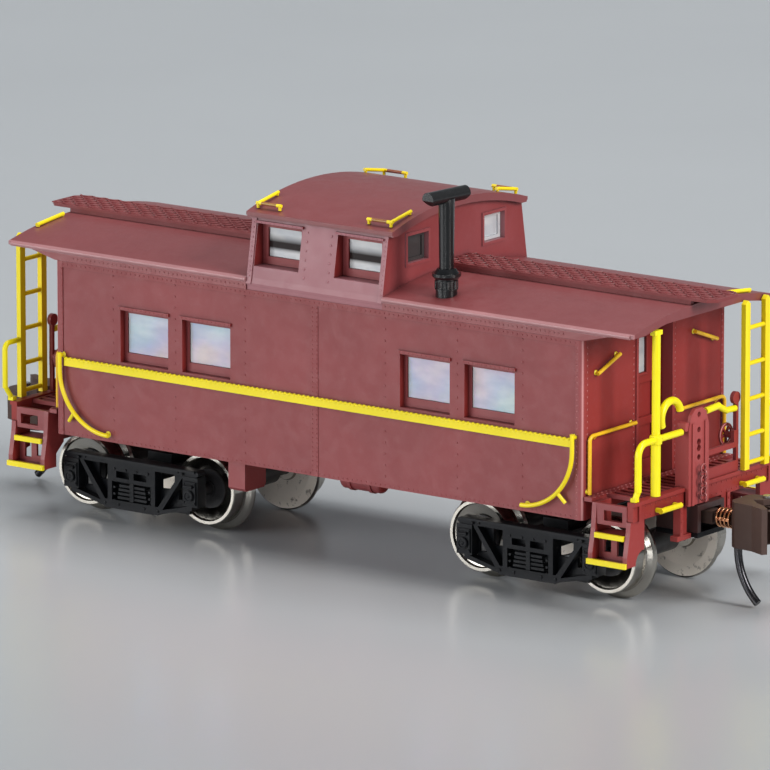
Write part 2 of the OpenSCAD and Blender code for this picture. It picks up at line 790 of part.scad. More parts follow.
// Screw on which each truck swings.
module truck_screws() {
    color(steel)
        both_ends()
            translate([truck_x, 0, 0])
                difference() {
                    union() {
                        cylinder_z(3, 8.6, kingpin_radius);
                        cylinder_z(2.55, 3.2, 1.25);
                    }
                    translate([-2, -0.15, 2]) cube([4, 0.3, 0.8]);
                }
}

// Draft box of each coupler, open at the mouth and on its underside.
module coupler_boxes() {
    color(maroon)
        both_ends()
            difference() {
                span([25, -1.65, 5.0], [28.6, 1.65, floor_bottom - fit_gap]);
                span([25.3, -1.25, 4.5], [30, 1.25, coupler_height + 0.55]);
                translate([coupler_pivot, 0, 0]) cylinder_z(4, 9, 0.42);
            }
}

// Lid under each draft box, with the post on which the coupler swings.
module coupler_lids() {
    color(black)
        both_ends()
            difference() {
                union() {
                    span([25, -1.65, 4.62], [28.6, 1.65, 4.98]);
                    translate([coupler_pivot, 0, 0]) cylinder_z(4.7, coupler_height + 0.53, 0.6);
                }
                translate([coupler_pivot, 0, 0]) cylinder_z(4, 9, 0.4);
            }
}

// Screw holding each lid and box to the underframe.
module coupler_screws() {
    color(steel)
        both_ends()
            translate([coupler_pivot, 0, 0])
                difference() {
                    union() {
                        cylinder_z(4.4, 7.9, 0.38);
                        cylinder_z(4.2, 4.58, 0.8);
                    }
                    translate([-1, -0.11, 4]) cube([2, 0.22, 0.4]);
                }
}

// Truck side frame of one side, drawn about the truck's centre.
module side_frame() {
    difference() {
        union() {
            translate([0, frame_face, 0]) rotate([90, 0, 0]) linear_extrude(frame_face - frame_back) {
                polygon([[-5.9, 4.5], [5.9, 4.5], [6.2, 4.65], [6.2, 4.85], [5.9, 5], [-5.9, 5],
                         [-6.2, 4.85], [-6.2, 4.65]]);
                polygon([[-2.9, 1.85], [2.9, 1.85], [2.9, 1.45], [2.4, 1.2], [-2.4, 1.2], [-2.9, 1.45]]);
                for (s = [-1, 1]) {
                    polygon([[s * 4.9, 4.6], [s * 4.5, 4.6], [s * 2.35, 1.7], [s * 2.8, 1.6]]);
                    translate([s * 2 - 0.2, 1.7]) square([0.4, 2.9]);
                    polygon([[s * 2.7, 1.35], [s * 5.6, 2], [s * 5.6, 2.35], [s * 2.7, 1.65]]);
                }
                difference() {
                    translate([-1.9, 3.25]) square([3.8, 1.3]);
                    for (x = [-1.4, 0.2]) translate([x, 3.55]) square([1.2, 0.5]);
                }
            }
            difference() {
                span([-4.9, frame_back, 1.5], [4.9, frame_back + 0.22, 4.6]);
                for (s = [-1, 1]) {
                    translate([s * 2.9, frame_back, 3.775]) cube([1.2, 2, 1.35], center = true);
                    translate([s * 4.3, frame_back, 2.95]) cube([0.8, 2, 0.9], center = true);
                }
            }
            for (s = [-1, 1]) {
                span([s * axle_x - 0.68, frame_back, 2.3], [s * axle_x + 0.68, frame_face + 0.1, 4.52]);
                span([s * axle_x - 0.56, frame_back, 2.45], [s * axle_x + 0.56, frame_face + 0.22, 4.2]);
                translate([s * axle_x, frame_face, 3.15]) rotate([-90, 0, 0]) cylinder(r = 0.42, h = 0.34);
                span([s * axle_x - 0.3, frame_face, 3.72], [s * axle_x + 0.3, frame_face + 0.34, 3.98]);
            }
            span([-5.9, frame_face - 0.05, 4.83], [5.9, frame_face + 0.12, 4.98]);
        }
        for (s = [-1, 1])
            translate([s * axle_x, frame_back - 0.01, flange_radius]) rotate([-90, 0, 0]) {
                cylinder(r = 0.45 + running_fit, h = 0.2);
                translate([0, 0, 0.19]) cylinder(r1 = 0.45 + running_fit, r2 = running_fit, h = 0.45);
            }
    }
}

// Both side frames of the truck at x.
module truck_frames(x) {
    color(black) translate([x, 0, 0]) both_sides() side_frame();
}

// Bolster of the truck at x, with its centre plate, pivot hole and brake beams.
module truck_bolster(x) {
    color(black)
        translate([x, 0, 0])
            difference() {
                union() {
                    span([-1.5, -frame_back + fit_gap, 3.45], [1.5, frame_back - fit_gap, 4.35]);
                    cylinder_z(3.45, bolster_top, 1.85);
                    span([-1.1, -4, 4.3], [1.1, 4, 5]);
                }
                cylinder_z(2, 8, kingpin_radius + running_fit);
            }
}

// Stacked leaf springs under the bolster ends of the truck at x.
module leaf_springs(x) {
    color(black)
        translate([x, 0, 0])
            both_sides() {
                for (i = [0 : 3])
                    span([-1.35 + 0.06 * i, 6.75, 1.97 + 0.3 * i],
                         [1.35 - 0.06 * i, frame_face - 0.08, 2.15 + 0.3 * i]);
                span([-0.18, 6.74, 1.88], [0.18, frame_face - 0.02, 3.23]);
            }
}

// Profile of one wheel from axle outward; x is radius and y is distance from the car's centre line.
module wheel_profile() {
    polygon([[0.62, wheel_back + 0.1], [1, wheel_back + 0.1],
             [1.1, wheel_back + 0.3], [1.5, wheel_back + 0.2],
             [2.4, wheel_back], [flange_radius - 0.12, wheel_back], [flange_radius, wheel_back + 0.14],
             [flange_radius, wheel_back + 0.3], [flange_radius - 0.16, wheel_back + 0.46],
             [tread_radius + 0.1, wheel_back + 0.62], [tread_radius + 0.04, wheel_back + 0.8],
             [tread_radius, wheel_face - 0.08], [tread_radius - 0.07, wheel_face], [2.38, wheel_face],
             [2.3, wheel_face - 0.2], [1.5, wheel_face - 0.48], [1.5, wheel_face - 0.72],
             [0.62, wheel_face - 0.72]]);
}

// The two wheels of the axle at x.
module wheels(x) {
    color(nickel)
        translate([x, 0, flange_radius])
            both_sides() rotate([-90, 0, 0]) rotate_extrude($fn = 96) wheel_profile();
}

// Pointed axle at x, with a hub disc in the face of each wheel.
module axle(x) {
    tip = 7;
    color(black)
        translate([x, 0, flange_radius])
            both_sides() rotate([-90, 0, 0]) {
                translate([0, 0, -0.01]) cylinder(r = 0.6, h = wheel_face - 0.3);
                translate([0, 0, wheel_face - 0.7]) cylinder(r = 1.46, h = 0.3);
                cylinder(r = 0.45, h = tip - 0.42);
                translate([0, 0, tip - 0.43]) cylinder(r1 = 0.45, r2 = 0.03, h = 0.43);
                cylinder(r = 0.95, h = 2.2);
            }
}

// Coupler head and shank, pointing along +X.
module coupler_shank_solid() {
    low = coupler_height - 0.5;
    high = coupler_height + 0.45;
    head_low = coupler_height - 1.65;
    head_high = coupler_height + 1.65;
    difference() {
        union() {
            translate([coupler_pivot, 0, 0]) cylinder_z(low, high, 1.05);
            span([coupler_pivot, -0.55, low], [29.1, 0.55, high]);
            span([29, -0.36, coupler_height - 0.36], [31.4, 0.36, coupler_height + 0.36]);
            translate([0, 0, head_low]) linear_extrude(head_high - head_low)
                polygon([[31.1, -0.9], [31.3, -1.3], [31.7, -1.6],
                         [33.3, -1.75], [34.5, -2.25], [34.75, -1.9],
                         [33.9, -1.15], [33.05, -0.75], [32.55, -0.3], [32.1, 0.1], [32.1, 1.55], [31.5, 1.4],
                         [31.1, 1]]);
            for (z = [head_low, head_high - 0.42])
                translate([0, 0, z]) linear_extrude(0.42)
                    polygon([[31.9, -0.4], [32.9, 0.3], [33.2, 0.9],
                             [33.05, 1.5], [32.6, 1.75], [31.9, 1.52]]);
        }
        translate([coupler_pivot, 0, 0]) cylinder_z(0, 9, 0.6 + running_fit);
        translate([knuckle_pivot, 1.1, 0]) cylinder_z(0, 9, 0.22);
        translate([31.55, -0.85, 0]) cylinder_z(0, coupler_height - 0.3, 0.33);
    }
}

// Pivoting knuckle of a coupler, pointing along +X.
module knuckle_solid() {
    low = coupler_height - 1.15;
    high = coupler_height + 1.15;
    difference() {
        translate([0, 0, low]) linear_extrude(high - low)
            polygon([[32.3, 0.85], [32.55, 0.62], [33.0, 0.45], [33.75, 0.3], [33.75, -0.35], [33.95, -0.7],
                     [34.35, -0.75], [34.75, -0.4], [34.85, 0.4], [34.5, 1.15], [33.6, 1.55], [32.75, 1.52],
                     [32.35, 1.3]]);
        translate([knuckle_pivot, 1.1, 0]) cylinder_z(0, 9, 0.22);
    }
}

// Pin through the head on which the knuckle turns.
module knuckle_pin_solid() {
    translate([knuckle_pivot, 1.1, 0]) {
        cylinder_z(coupler_height - 1.62, coupler_height + 1.75, 0.22 - running_fit / 1.2);
        cylinder_z(coupler_height + 1.66, coupler_height + 1.82, 0.36);
    }
}

// Curved trip pin hanging from a coupler head.
module trip_pin_solid() {
    d = 0.6;
    r = 5;
    sweep = 49;
    translate([31.55, -0.85, 0]) {
        cylinder_z(4.15, coupler_height - 0.35, d / 2);
        translate([r, 0, 4.16])
            rotate([90, 0, 0])
                rotate([0, 0, 180])
                    rotate_extrude(angle = sweep, $fn = 72) translate([r, 0]) circle(d = d * 0.98, $fn = 20);
    }
}

// Coil spring round the coupler shank, as a stack of rings.
module centring_spring_solid() {
    for (i = [0 : 3])
        translate([29.5 + 0.34 * i, 0, coupler_height])
            rotate([0, 90, 0]) rotate_extrude($fn = 40) translate([0.63, 0]) circle(r = 0.09, $fn = 16);
    span([29.42, -0.62, coupler_height - 0.12], [30.6, -0.42, coupler_height + 0.12]);
}

module coupler_a() {
    color(brown) coupler_shank_solid();
}

module knuckle_a() {
    color(brown) knuckle_solid();
}

module knuckle_pin_a() {
    color(steel) knuckle_pin_solid();
}

module trip_pin_a() {
    color(black) trip_pin_solid();
}

module centring_spring_a() {
    color(copper) centring_spring_solid();
}

module coupler_b() {
    rotate([0, 0, 180]) coupler_a();
}

module knuckle_b() {
    rotate([0, 0, 180]) knuckle_a();
}

module knuckle_pin_b() {
    rotate([0, 0, 180]) knuckle_pin_a();
}

module trip_pin_b() {
    rotate([0, 0, 180]) trip_pin_a();
}

module centring_spring_b() {
    rotate([0, 0, 180]) centring_spring_a();
}

body_shell();
roof_panels();
walkways();
cupola_shell();
cupola_roof();
window_sashes();
glazing();
end_doors();
belt_rails();
side_grabs();
end_grabs();
roof_grabs();
cupola_grabs();
smoke_jack();
underframe();
ballast();
tool_box();
air_tank();
brake_cylinder();
platforms();
end_sills();
steps();
step_edges();
ladders();
roof_posts();
end_rails();
gate_rails();
brake_columns();
brake_chains();
gates();
brake_wheels();
sill_grabs();
truck_screws();
coupler_boxes();
coupler_lids();
coupler_screws();
truck_frames(truck_x);  // frames_a
truck_bolster(truck_x);  // bolster_a
leaf_springs(truck_x);  // springs_a
wheels(truck_x + axle_x);  // wheels_a1
axle(truck_x + axle_x);  // axle_a1
wheels(truck_x - axle_x);  // wheels_a2
axle(truck_x - axle_x);  // axle_a2
truck_frames(-truck_x);  // frames_b
truck_bolster(-truck_x);  // bolster_b
leaf_springs(-truck_x);  // springs_b
wheels(-truck_x - axle_x);  // wheels_b1
axle(-truck_x - axle_x);  // axle_b1
wheels(-truck_x + axle_x);  // wheels_b2
axle(-truck_x + axle_x);  // axle_b2
coupler_a();
centring_spring_a();
trip_pin_a();
knuckle_a();
knuckle_pin_a();
coupler_b();
centring_spring_b();
trip_pin_b();
knuckle_b();
knuckle_pin_b();
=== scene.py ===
# Looks of the model caboose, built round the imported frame. Metres, in the row's frame.
import json
import math

import bmesh
import bpy
from mathutils import Matrix, Vector


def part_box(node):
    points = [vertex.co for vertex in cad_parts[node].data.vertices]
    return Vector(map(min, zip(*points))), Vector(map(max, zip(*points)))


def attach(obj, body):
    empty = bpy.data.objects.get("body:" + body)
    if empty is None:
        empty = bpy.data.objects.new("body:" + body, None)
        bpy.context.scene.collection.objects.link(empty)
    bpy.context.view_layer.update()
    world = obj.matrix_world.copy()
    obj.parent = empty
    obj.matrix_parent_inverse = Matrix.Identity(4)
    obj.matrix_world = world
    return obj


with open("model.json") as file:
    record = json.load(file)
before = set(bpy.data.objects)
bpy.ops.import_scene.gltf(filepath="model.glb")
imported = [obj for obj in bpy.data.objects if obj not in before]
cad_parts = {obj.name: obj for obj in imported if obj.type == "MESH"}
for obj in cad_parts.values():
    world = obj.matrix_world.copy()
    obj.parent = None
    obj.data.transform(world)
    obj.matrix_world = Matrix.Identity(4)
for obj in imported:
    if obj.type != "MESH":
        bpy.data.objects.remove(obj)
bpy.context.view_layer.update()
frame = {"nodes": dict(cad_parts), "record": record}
nodes = frame["nodes"]
MM = 0.001


# ---------------------------------------------------------------- camera and light
def add_camera():
    cam = bpy.data.objects.new("camera", bpy.data.cameras.new("camera"))
    bpy.context.collection.objects.link(cam)
    back = Vector((0.5809, -0.7852, 0.2144))
    cam.location = Vector((0.41032, -0.55305, 0.16342))
    cam.rotation_mode = "QUATERNION"
    cam.rotation_quaternion = back.to_track_quat("Z", "Y")
    cam.data.sensor_width = 36
    cam.data.lens = 453.97
    cam.data.shift_x = -0.0201
    cam.data.shift_y = -0.0094
    cam.data.clip_start = 0.01
    cam.data.clip_end = 20
    bpy.context.scene.camera = cam


def add_light(name, pos, target, size, power, color=(1, 1, 1)):
    data = bpy.data.lights.new(name, "AREA")
    data.shape = "RECTANGLE"
    data.size, data.size_y = size
    data.energy = power
    data.color = color
    o = bpy.data.objects.new(name, data)
    o.location = pos
    o.rotation_mode = "QUATERNION"
    o.rotation_quaternion = (Vector(pos) - Vector(target)).to_track_quat("Z", "Y")
    bpy.context.collection.objects.link(o)


def add_world():
    world = bpy.data.worlds.new("world")
    bpy.context.scene.world = world
    world.use_nodes = True
    bg = world.node_tree.nodes["Background"]
    bg.inputs["Color"].default_value = (0.86, 0.88, 0.92, 1)
    bg.inputs["Strength"].default_value = 0.22


add_camera()
add_world()
add_light("front_softbox", (-0.63, -0.93, 0.31), (0, 0, 0.01), (0.8, 0.56), 7.0)
add_light("low_fill", (0.18, -0.62, 0.045), (0, 0, 0.004), (0.3, 0.05), 0.55)
add_light("end_softbox", (0.62, -0.02, 0.34), (0.02, 0, 0.01), (0.22, 0.34), 4.0, (1, 0.96, 0.93))
add_light("top_softbox", (-0.05, 0.22, 0.9), (-0.05, 0.12, 0.02), (0.6, 0.5), 5.4)
bpy.context.scene.view_settings.view_transform = "Standard"


# ---------------------------------------------------------------- materials
# Places where a finish changes, each as the pair of distances between which it does, in metres. Several
# bound painted light:
# the eave and corner highlights, the pale wheel backs and the dark band and panes of the cupola glass.
ROOF_EDGE_Y = (0.00868, 0.00878)
ROOF_BEAD_Z = (0.02005, 0.02015)
BODY_END_X = (0.0231, 0.0232)
WHEEL_BACK_Y = (0.0041, 0.00415)
GRAB_FOOT_X = (0.00425, 0.0043)
GRAB_CORNER_X = (0.0056, 0.00565)
CUPOLA_END_X = (0.0053, 0.0054)
BODY_TOP_Z = (0.0190, 0.0195)
PANE_BAND_FOOT_Z = (0.0223, 0.0226)
PANE_BAND_HEAD_Z = (0.0230, 0.0236)
PANE_FOOT_Z = (0.0205, 0.021)
MIDDLE_Y = (-0.002, 0.002)


class Tree:
    """A material's node tree, with short calls for the nodes used here."""

    def __init__(self, name):
        self.mat = bpy.data.materials.new(name)
        self.mat.use_nodes = True
        self.tree = self.mat.node_tree
        self.bsdf = self.tree.nodes["Principled BSDF"]
        self.coord = self.tree.nodes.new("ShaderNodeTexCoord").outputs["Object"]

    def node(self, kind, **sockets):
        n = self.tree.nodes.new(kind)
        for k, v in sockets.items():
            self.set(n, k, v)
        return n

    def set(self, n, key, value):
        s = n.inputs[key.replace("_", " ")] if isinstance(key, str) else n.inputs[key]
        if isinstance(value, bpy.types.NodeSocket):
            self.tree.links.new(value, s)
        else:
            s.default_value = value

    def noise(self, scale, detail=3.0, rough=0.5, stretch=(1, 1, 1)):
        m = self.node("ShaderNodeMapping", Vector=self.coord, Scale=stretch)
        return self.node("ShaderNodeTexNoise", Vector=m.outputs[0], Scale=scale, Detail=detail,
                         Roughness=rough).outputs["Fac"]

    def spread(self, value, low, high, out_low, out_high):
        n = self.node("ShaderNodeMapRange", Value=value)
        for i, v in zip((1, 2, 3, 4), (low, high, out_low, out_high)):
            n.inputs[i].default_value = v
        return n.outputs[0]

    def mix(self, fac, a, b):
        n = self.node("ShaderNodeMix")
        n.data_type = "RGBA"
        for i, v in ((0, fac), (6, a), (7, b)):
            self.set(n, i, v)
        return n.outputs[2]

    def scale_color(self, color, factor):
        n = self.node("ShaderNodeVectorMath")
        n.operation = "SCALE"
        self.set(n, 0, color if isinstance(color, bpy.types.NodeSocket) else color[:3])
        self.set(n, "Scale", factor)
        return n.outputs[0]

    def size(self, value):
        n = self.node("ShaderNodeMath")
        n.operation = "ABSOLUTE"
        self.set(n, 0, value)
        return n.outputs[0]

    def times(self, a, b):
        n = self.node("ShaderNodeMath")
        n.operation = "MULTIPLY"
        self.set(n, 0, a)
        self.set(n, 1, b)
        return n.outputs[0]

    def axis(self, i, vector=None):
        """One component of the place on the part, or of another vector."""
        return self.node("ShaderNodeSeparateXYZ", Vector=vector or self.coord).outputs[i]

    def end_mask(self):
        """1 on faces that look along the car, 0 on its sides and top; it places the painted light of the
        car's ends.
        """
        return self.spread(self.lengthwise(), 0.6, 0.85, 0.0, 1.0)

    def lengthwise(self):
        """How far a face looks along the car, 0 to 1."""
        normal = self.node("ShaderNodeNewGeometry").outputs["True Normal"]
        return self.size(self.axis(0, normal))

    def corner_highlight_mask(self):
        """1 on the middle of the rounded upright corners at the ends of the car, and on other edges there,
        where a painted highlight goes.
        """
        turn = self.lengthwise()
        arc = self.times(self.spread(turn, 0.52, 0.64, 0.0, 1.0), self.spread(turn, 0.74, 0.86, 1.0, 0.0))
        return self.times(arc, self.spread(self.size(self.axis(0)), *BODY_END_X, 0.0, 0.8))

    def grab_mask(self):
        """1 on the stretch of a cupola grab that lies along the car, short of its foot and its corner."""
        x = self.size(self.axis(0))
        inside = self.spread(x, *GRAB_CORNER_X, 1.0, 0.0)
        return self.times(self.spread(x, *GRAB_FOOT_X, 0.0, 1.0), inside)

    def bump(self, height, strength, distance, normal=None):
        n = self.node("ShaderNodeBump", Height=height, Strength=strength, Distance=distance)
        if normal is not None:
            self.set(n, "Normal", normal)
        return n.outputs[0]


def shade(color, k):
    return (color[0] * k, color[1] * k, color[2] * k, 1)


def paint(name, color, rough=0.42, dust=(0.42, 0.27, 0.28), dusty=0.05, crevice_shade=0.6, grain=0.2,
          coat=0.0, spec=0.5, second=None, end=None, eave=None):
    """Sprayed satin paint on moulded plastic: slow tone drift, fine dust, painted shade in crevices,
    painted highlights on sharp edges.

    second is the colour of the middle of a cupola grab; end that of faces looking along the car, a redder
    copy of the paint as painted light for the ends, which also brings a painted highlight down the rounded
    corners;
    and eave that of the painted highlight on the bead along each side of the roof, whose boards get the
    body maroon."""
    t = Tree(name)
    base = (*color, 1)
    if second:
        base = t.mix(t.grab_mask(), base, (*second, 1))
    if end:
        # Faces looking along the car get a redder copy of the paint: painted light for how the lamps fall
        # on the ends.
        base = t.mix(t.end_mask(), base, (*end, 1))
        # A painted highlight down the rounded upright corners and other edges at the car's ends.
        base = t.mix(t.corner_highlight_mask(), base, (*CORNER_PAINTED_HIGHLIGHT, 1))
    if eave:
        # The eave boards go back to the body maroon, out of the roof's painted shade, and the bead along
        # their top gets a painted highlight.
        board = t.spread(t.size(t.axis(1)), *ROOF_EDGE_Y, 0.0, 1.0)
        bead = t.times(board, t.spread(t.axis(2), *ROOF_BEAD_Z, 0.0, 1.0))
        base = t.mix(bead, t.mix(board, base, (*MAROON, 1)), (*eave, 1))
    drift = t.spread(t.noise(140, 4, 0.55), 0.3, 0.7, 0.0, 1.0)
    tone = t.scale_color(base, t.spread(drift, 0.0, 1.0, 0.92, 1.1))
    speck = t.spread(t.noise(2600, 4, 0.7), 0.5, 0.78, 0.0, dusty)
    tone = t.mix(speck, tone, (*dust, 1))
    # Painted shade: crevices, found by ambient occlusion, are darkened towards a deep copy of the paint.
    ao = t.node("ShaderNodeAmbientOcclusion", Distance=0.0004)
    ao.samples = 4
    crevice = t.spread(ao.outputs["AO"], 0.35, 0.95, crevice_shade, 0.0)
    tone = t.mix(crevice, tone, shade(color, 0.2))
    # Painted highlight: sharp edges, found by pointiness, are lightened.
    edge = t.node("ShaderNodeNewGeometry").outputs["Pointiness"]
    edge_highlight = t.spread(edge, 0.52, 0.62, 0.0, 0.2)
    tone = t.mix(edge_highlight, tone, (*[min(1, c * 1.5 + 0.04) for c in color], 1))
    t.set(t.bsdf, "Base Color", tone)
    t.set(t.bsdf, "Roughness", t.spread(t.noise(900, 3, 0.6), 0.3, 0.7, rough - 0.06, rough + 0.08))
    if end:
        t.set(t.bsdf, "Specular IOR Level", t.spread(t.end_mask(), 0.0, 1.0, spec, 0.2))
    else:
        t.bsdf.inputs["Specular IOR Level"].default_value = spec
    t.bsdf.inputs["Coat Weight"].default_value = coat
    t.bsdf.inputs["Coat Roughness"].default_value = 0.12
    fine = t.bump(t.noise(9000, 3, 0.6), grain * 0.5, 0.00001)
    soft = t.bump(t.noise(500, 2, 0.5), grain, 0.00002, fine)
    t.set(t.bsdf, "Normal", soft)
    return t.mat


def metal(name, color, rough=0.25, stain=(0.25, 0.2, 0.14), stained=0.25, turned=False, back=None):
    """Plain metal with faint tarnish, and turning marks where it was turned about Y.

    back is the pale colour of the dull, speckled backs of the wheels: painted light for the lamp light on
    them, with dark rust specks."""
    wheel_specks, worn_more = 0.8, 0.3
    t = Tree(name)
    t.bsdf.inputs["Metallic"].default_value = 1.0
    spots = t.spread(t.noise(700, 5, 0.65), 0.45, 0.75, 0.0, stained)
    tone = t.mix(spots, (*color, 1), (*stain, 1))
    # Painted shade: hollows, found by ambient occlusion, are darkened towards a deep copy of the stain
    # colour.
    ao = t.node("ShaderNodeAmbientOcclusion", Distance=0.0005)
    ao.samples = 4
    tone = t.mix(t.spread(ao.outputs["AO"], 0.3, 0.95, 0.6, 0.0), tone, shade(stain, 0.25))
    worn = t.spread(t.noise(1800, 3, 0.6), 0.3, 0.7, rough * 0.7, rough * 1.4)
    if back:
        # Painted light: the wheel backs get a pale, dull colour for the lamp light on them, with dark rust
        # specks.
        facing = t.node("ShaderNodeNewGeometry").outputs["True Normal"]
        inner = t.times(t.spread(t.size(t.axis(1)), *WHEEL_BACK_Y, 1.0, 0.0),
                        t.spread(t.size(t.axis(1, facing)), 0.7, 0.8, 0.0, 1.0))
        rust = t.spread(t.noise(1500, 4, 0.7), 0.58, 0.68, 0.0, wheel_specks)
        tone = t.mix(inner, tone, t.mix(rust, (*back, 1), shade(stain, 0.6)))
        t.set(t.bsdf, "Metallic", t.spread(inner, 0.0, 1.0, 1.0, 0.15))
        dull = t.node("ShaderNodeMath")
        dull.operation = "MULTIPLY_ADD"
        for i, v in enumerate((inner, worn_more, worn)):
            t.set(dull, i, v)
        worn = dull.outputs[0]
    t.set(t.bsdf, "Base Color", tone)
    t.set(t.bsdf, "Roughness", worn)
    height = t.noise(6000, 2, 0.6, (0.3, 6, 0.3) if turned else (1, 1, 1))
    t.set(t.bsdf, "Normal", t.bump(height, 0.25, 0.000006))
    return t.mat


def clear(name):
    """Clear moulded pane, faintly milky, with soft flow marks and, below the roof, an iridescent film.

    The cupola's side panes carry a painted dark reflection as a band between two light ones, and one of its
    end panes is painted dark as shade."""
    t = Tree(name)
    flow = t.noise(420, 3, 0.5, (1, 1, 2.2))
    tint = t.mix(t.spread(flow, 0.35, 0.65, 0.0, 1.0), (0.72, 0.77, 0.82, 1), (0.93, 0.95, 0.95, 1))
    z = t.axis(2)
    low = t.spread(z, *BODY_TOP_Z, 1.0, 0.0)
    at_end = t.spread(t.size(t.axis(0)), *CUPOLA_END_X, 0.0, 1.0)
    at_side = t.spread(at_end, 0.0, 1.0, 1.0, 0.0)
    # Painted reflection: a dark band across the cupola's side panes.
    side_band_reflection = t.times(t.spread(z, *PANE_BAND_FOOT_Z, 0.0, 1.0), t.spread(z, *PANE_BAND_HEAD_Z, 1.0, 0.2))
    # Painted shade: the end panes on the -Y side are darkened above their foot.
    near_pane_shade = t.times(t.spread(t.axis(1), *MIDDLE_Y, 0.96, 0.0), t.spread(z, *PANE_FOOT_Z, 0.0, 1.0))
    dark = t.mix(at_end, t.times(side_band_reflection, at_side), near_pane_shade)
    t.set(t.bsdf, "Base Color", t.mix(dark, tint, (0.024, 0.018, 0.018, 1)))
    t.set(t.bsdf, "Roughness", t.spread(flow, 0.3, 0.7, 0.05, 0.16))
    t.set(t.bsdf, "Transmission Weight", t.spread(dark, 0.0, 1.0, 0.3, 0.0))
    t.bsdf.inputs["IOR"].default_value = 1.55
    t.set(t.bsdf, "Specular IOR Level", t.spread(dark, 0.0, 1.0, 0.8, 0.1))
    t.set(t.bsdf, "Thin Film Thickness", t.times(low, t.spread(t.noise(300, 2, 0.5), 0.3, 0.7, 340, 450)))
    t.bsdf.inputs["Thin Film IOR"].default_value = 1.24
    t.set(t.bsdf, "Normal", t.bump(flow, 0.3, 0.00004))
    return t.mat


MAROON = (0.255, 0.045, 0.048)
# Deep red of the red plastic parts; the maroon paint also takes it on faces looking along the car, as
# painted light for the ends.
DEEP_RED = (0.28, 0.031, 0.027)
YELLOW = (0.95, 0.74, 0.004)
# Colour of the painted highlight down the body's rounded corners and other edges at its ends.
CORNER_PAINTED_HIGHLIGHT = (0.75, 0.38, 0.38)
M = {
    # Body maroon, with DEEP_RED on faces looking along the car as painted light for the ends, and a painted
    # highlight on the rounded corners.
    "maroon_plastic": paint("maroon_paint", MAROON, spec=0.55, end=DEEP_RED),
    "red_plastic": paint("red_paint", DEEP_RED, 0.4, spec=0.3),
    "yellow_plastic": paint("yellow_paint", YELLOW, 0.34, (0.9, 0.78, 0.25), 0.05, 0.4, 0.2),
    "gloss_black_plastic": paint("black_gloss", (0.006, 0.007, 0.008), 0.2, (0.2, 0.2, 0.22), 0.03,
                                 0.3, 0.2, 0.3, 0.3),
    "clear_plastic": clear("clear_pane"),
    "ballast_steel": metal("ballast_steel", (0.42, 0.42, 0.43), 0.35),
    "screw_steel": metal("screw_steel", (0.5, 0.5, 0.5), 0.3),
    "truck_black_plastic": paint("truck_black", (0.006, 0.007, 0.009), 0.36, (0.12, 0.12, 0.13), 0.03,
                                 0.35, 0.25, spec=0.15),
    # The near-white backs are painted light standing in for the lamp light on the wheel backs.
    "wheel_nickel": metal("wheel_nickel", (0.43, 0.41, 0.37), 0.16, stained=0.2, turned=True,
                          back=(0.97, 0.9, 0.8)),
    "axle_black_plastic": paint("axle_black", (0.02, 0.02, 0.022), 0.4, (0.16, 0.15, 0.15), 0.08),
    "coupler_brown_plastic": paint("coupler_brown", (0.056, 0.028, 0.021), 0.58, (0.2, 0.14, 0.12), 0.08,
                                   spec=0.4),
    "spring_copper": metal("spring_copper", (0.85, 0.42, 0.22), 0.22, (0.3, 0.12, 0.05)),
    "trip_pin_black": metal("trip_pin_black", (0.05, 0.05, 0.055), 0.22, (0.1, 0.08, 0.07)),
}
# A darker copy of the body maroon for the roof, painted shade for the light on top, with a painted
# highlight on the eave bead.
ROOF_SHADED_PAINT = paint("roof_shaded_paint", (0.185, 0.034, 0.037), 0.38, spec=0.7, eave=(0.42, 0.2, 0.21))
# A darker copy of the body maroon for the walkways, painted shade for the light on top.
WALKWAY_SHADED_PAINT = paint("walkway_shaded_paint", (0.19, 0.032, 0.034), 0.42, spec=0.4)
# A paler copy of the body maroon, painted sheen for the light on the cupola's leaning sides, and a dark red
# painted shade on its ends.
CUPOLA_SHEEN_AND_SHADE_PAINT = paint("cupola_sheen_and_shade_paint", (0.33, 0.12, 0.14), spec=0.55, end=(0.21, 0.022, 0.021))
POST_PAINT = paint("post_paint", (0.97, 0.84, 0.002), 0.34, (0.9, 0.8, 0.25), 0.05, 0.4, 0.2)
FINISHES = {
    "cupola_grabs": paint("cupola_grab_paint", YELLOW, 0.34, (0.9, 0.78, 0.25), 0.05, 0.4, 0.2,
                          second=MAROON),
    "roof_panels": ROOF_SHADED_PAINT,
    "cupola_roof": ROOF_SHADED_PAINT,
    "roof_rivets": ROOF_SHADED_PAINT,
    "walkways": WALKWAY_SHADED_PAINT,
    "walkway_treads": WALKWAY_SHADED_PAINT,
    "cupola_shell": CUPOLA_SHEEN_AND_SHADE_PAINT,
    "cupola_rivets": CUPOLA_SHEEN_AND_SHADE_PAINT,
    "roof_posts": POST_PAINT,
    "end_rails": POST_PAINT,
    "gate_rails": POST_PAINT,
    "post_clamps": POST_PAINT,
    # An orange copy of the yellow paint, painted shade for the end grabs.
    "end_grabs": paint("end_grab_shaded_paint", (0.93, 0.53, 0.015), 0.34, (0.9, 0.7, 0.25), 0.05, 0.4, 0.2),
    "brake_columns": paint("column_paint", (0.35, 0.058, 0.056), 0.4, spec=0.35),
    # Near-black red, painted shade for the coupler boxes under the end sills.
    "coupler_boxes": paint("draft_box_shaded_paint", (0.035, 0.012, 0.011), 0.4, (0.2, 0.12, 0.1), 0.04),
}


